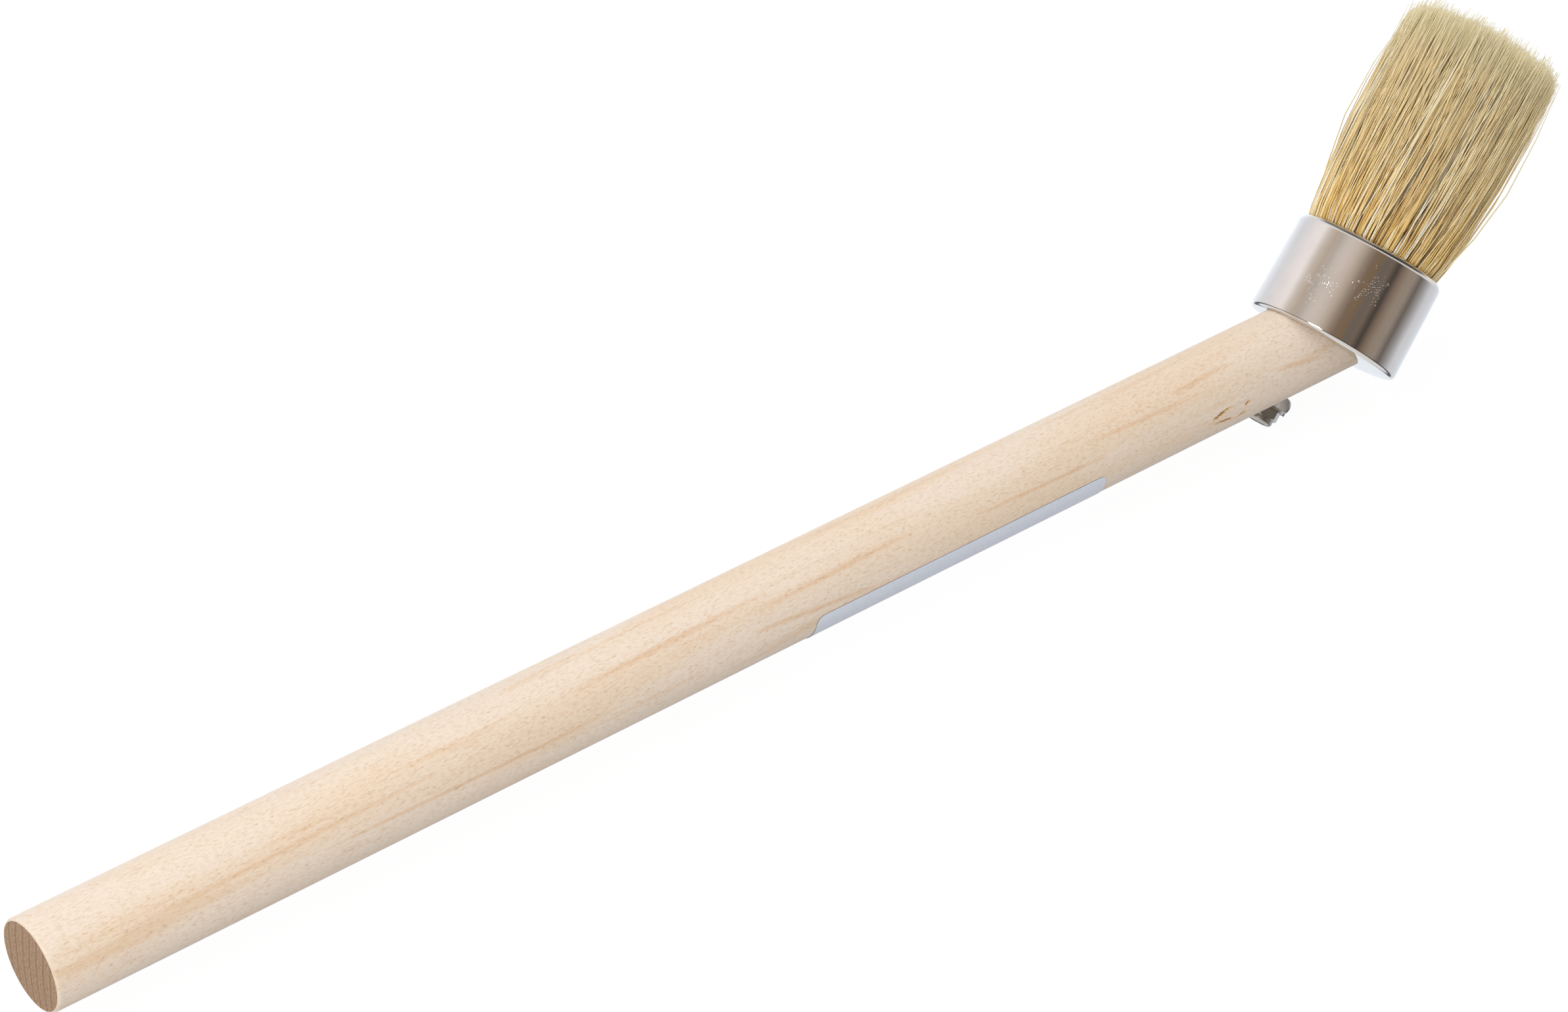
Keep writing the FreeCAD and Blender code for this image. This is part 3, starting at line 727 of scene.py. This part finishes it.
# Hog bristle, boiled and combed: straw-coloured hair with a silky gloss, paler towards its split tips.
# Most are blond, some are white, and one in fifteen is brown.
bristle_hair, tree = new_material("blond_hog_bristle", Roughness=0.38, IOR=1.55, Specular_IOR_Level=0.5)
tone_and_place = add_node(tree, "ShaderNodeUVMap", uv_map="UVMap")
split = add_node(tree, "ShaderNodeSeparateXYZ", {"Vector": tone_and_place}, output="X")
place = split.node.outputs["Y"]
tone_colour = add_node(
    tree, "ShaderNodeValToRGB", {"Fac": split},
    [
        (0.0, "#3A260E"), (0.05, "#72501F"), (0.11, "#B48A3E"), (0.22, "#E4BA68"), (0.45, "#F6D080"),
        (0.7, "#FCE2A0"), (0.88, "#FDF0CA"), (1.0, "#FFFAEC"),
    ],
)
paler = add_node(
    tree, "ShaderNodeValToRGB", {"Fac": place}, [(0.3, 0.0), (0.5, 0.3), (0.85, 0.55), (1.0, 0.95)]
)
hair_colour = add_node(
    tree, "ShaderNodeMix", {"Factor": paler, "A": tone_colour, "B": linear("#FFF3CC")}, data_type="RGBA"
)
to_shader(tree, Base_Color=hair_colour)

third = bristle_count // 3
for number, name in enumerate(bristle_pieces):
    bristle_mesh = bristles(name, range(number * third, (number + 1) * third))
    finish_piece(name, bristle_mesh, [bristle_hair], "bristle_tuft", sharp_angle=180)


# ---------------------------------------------------------------- floor, light and camera
# A white sweep under the brush, a soft dome of light with a large panel above it and a small one on the
# butt's side, and the panels and gaps round the brush that the nickel mirrors as light and dark bands.

floor_gap = 0.3 * MM
floor_data = bmesh.new()
bmesh.ops.create_grid(floor_data, x_segments=1, y_segments=1, size=6)
bmesh.ops.translate(floor_data, verts=floor_data.verts, vec=(0, 0, cad_box[0].z - floor_gap))
floor = bpy.data.objects.new("floor", as_mesh(floor_data))
bpy.context.scene.collection.objects.link(floor)
# The eye sees the sweep lit up from behind, all but white. The brush is lit by it as by grey paper.
white_sweep, tree = new_material(
    "white_sweep", Roughness=1.0, Specular_IOR_Level=0.0, Emission_Color=linear("#FFFFFF")
)
seen_directly = add_node(tree, "ShaderNodeLightPath", output="Is Camera Ray")
sweep_colour = add_node(
    tree, "ShaderNodeMix", {"Factor": seen_directly, "A": linear("#D0D0D0"), "B": linear("#4A4A4A")},
    data_type="RGBA",
)
sweep_glow = add_node(tree, "ShaderNodeMath", {0: seen_directly, 1: 0.95}, operation="MULTIPLY")
to_shader(tree, Base_Color=sweep_colour, Emission_Strength=sweep_glow)
floor.data.materials.append(white_sweep)
floor.visible_glossy = False

panel_data = bpy.data.lights.new("panel", "AREA")
panel_data.shape = "RECTANGLE"
panel_data.size = 1.4
panel_data.size_y = 1.0
panel_data.energy = 3.0
panel = bpy.data.objects.new("panel", panel_data)
panel.location = (0.25, 0.35, 1.1)
panel.rotation_euler = (Vector((0.2, 0, 0)) - panel.location).to_track_quat("-Z", "Y").to_euler()
panel.visible_glossy = False
bpy.context.scene.collection.objects.link(panel)

# A smaller panel from the butt's side gives the hairs their glints and the butt its light.
key_data = bpy.data.lights.new("key", "AREA")
key_data.shape = "SQUARE"
key_data.size = 0.4
key_data.energy = 4.5
key = bpy.data.objects.new("key", key_data)
key.location = (-0.7, -0.45, 0.55)
key.rotation_euler = (Vector((0.28, 0, 0.02)) - key.location).to_track_quat("-Z", "Y").to_euler()
bpy.context.scene.collection.objects.link(key)

world = bpy.data.worlds.new("studio")
bpy.context.scene.world = world
world.use_nodes = True
tree = world.node_tree
background = tree.nodes["Background"]
direction = add_node(tree, "ShaderNodeTexCoord", output="Generated")
# The bands stand round the ferrule's axis, counted from the camera's side of it.
band_side = Vector((-0.541, -0.645, 0.541))
band_across = Vector((0.456, -0.765, -0.456))
band_turn = Matrix((band_side, band_across, head_up)).to_euler()
band_at = add_node(
    tree, "ShaderNodeMapping", {"Vector": direction, "Rotation": band_turn}, vector_type="POINT"
)
band = add_node(tree, "ShaderNodeTexGradient", {"Vector": band_at}, output="Fac", gradient_type="RADIAL")
band_colour = add_node(
    tree, "ShaderNodeValToRGB", {"Fac": band},
    [
        (0.0, "#D4D9E0"), (0.05, "#EFF5FF"), (0.158, "#D5D8E0"), (0.206, "#DEDCDF"), (0.244, "#E8E2E5"),
        (0.278, "#EAE5E6"), (0.311, "#C6BCB4"), (0.342, "#B6A89C"), (0.369, "#B4ABA5"), (0.397, "#C6BEB8"),
        (0.422, "#CBC0B9"), (0.45, "#C3B8AF"), (0.475, "#B2A598"), (0.5, "#938578"), (0.525, "#796859"),
        (0.55, "#786550"), (0.578, "#69615B"), (0.603, "#706359"), (0.631, "#443F3B"), (0.658, "#7A6A5F"),
        (0.689, "#918578"), (0.722, "#92877F"), (0.756, "#68615C"), (0.794, "#969597"), (0.842, "#C8CAD1"),
        (0.908, "#CCD1DB"), (1.0, "#D4D9E0"),
    ],
)
bright_band = add_node(tree, "ShaderNodeVectorMath", {0: band_colour, "Scale": 1.4}, operation="SCALE")
# Height in the mirror tells the wall from the lip and the base corner, which mirror white paper edged
# with dark gaps.
height = add_node(tree, "ShaderNodeSeparateXYZ", {"Vector": band_at}, output="Z")
height_share = add_node(tree, "ShaderNodeMapRange", {"Value": height, "From Min": -1.0, "From Max": 1.0})
paper_mask = add_node(
    tree, "ShaderNodeValToRGB", {"Fac": height_share},
    [
        (0.0, 0.9), (0.2, 0.9), (0.27, 0.0), (0.66, 0.0), (0.73, 0.9), (0.80, 0.9), (0.84, 0.1), (0.96, 0.1),
        (1.0, 0.6),
    ],
)
with_paper = add_node(
    tree, "ShaderNodeMix", {"Factor": paper_mask, "A": bright_band, "B": (1, 1, 1, 1)}, data_type="RGBA"
)
gap_mask = add_node(
    tree, "ShaderNodeValToRGB", {"Fac": height_share},
    [
        (0.27, 1.0), (0.31, 0.15), (0.36, 0.15), (0.40, 1.0), (0.80, 1.0), (0.86, 0.25), (0.96, 0.25),
        (1.0, 0.8),
    ],
)
mirrored = add_node(
    tree, "ShaderNodeMix", {"Factor": 1.0, "A": with_paper, "B": gap_mask}, data_type="RGBA",
    blend_type="MULTIPLY",
)
# The dome is brightest overhead and dimmer on the side that the butt faces.
dome_up = add_node(tree, "ShaderNodeSeparateXYZ", {"Vector": direction}, output="Z")
dome_side = dome_up.node.outputs["X"]
dome_top = add_node(
    tree, "ShaderNodeMapRange",
    {"Value": dome_up, "From Min": -0.3, "From Max": 1.0, "To Min": 0.66, "To Max": 0.92},
)
dome_shade = add_node(
    tree, "ShaderNodeMapRange",
    {"Value": dome_side, "From Min": -1.0, "From Max": 0.3, "To Min": 0.66, "To Max": 1.0},
)
dome = add_node(tree, "ShaderNodeMath", {0: dome_top, 1: dome_shade}, operation="MULTIPLY")
kind_of_ray = add_node(tree, "ShaderNodeLightPath", output="Is Camera Ray")
glossy_ray = kind_of_ray.node.outputs["Is Glossy Ray"]
seen = add_node(tree, "ShaderNodeMix", {"Factor": glossy_ray, "A": dome, "B": mirrored}, data_type="RGBA")
all_seen = add_node(
    tree, "ShaderNodeMix", {"Factor": kind_of_ray, "A": seen, "B": (1, 1, 1, 1)}, data_type="RGBA"
)
tree.links.new(all_seen, background.inputs["Color"])

# A long lens from the butt's end, above and to the left, held a few degrees off level.
camera_data = bpy.data.cameras.new("camera")
camera_data.lens = 105.585
camera_data.sensor_width = 36
camera_data.clip_start = 0.05
camera = bpy.data.objects.new("camera", camera_data)
camera_at = Vector((-0.29825, -0.67857, 0.49241))
look = Vector((0.5061, 0.7083, -0.4922))
camera_roll = math.radians(-6.2)
aim = look.to_track_quat("-Z", "Y") @ Quaternion((0, 0, 1), camera_roll)
camera.matrix_world = Matrix.Translation(camera_at) @ aim.to_matrix().to_4x4()
bpy.context.scene.collection.objects.link(camera)
bpy.context.scene.camera = camera
bpy.context.scene.view_settings.view_transform = "Standard"
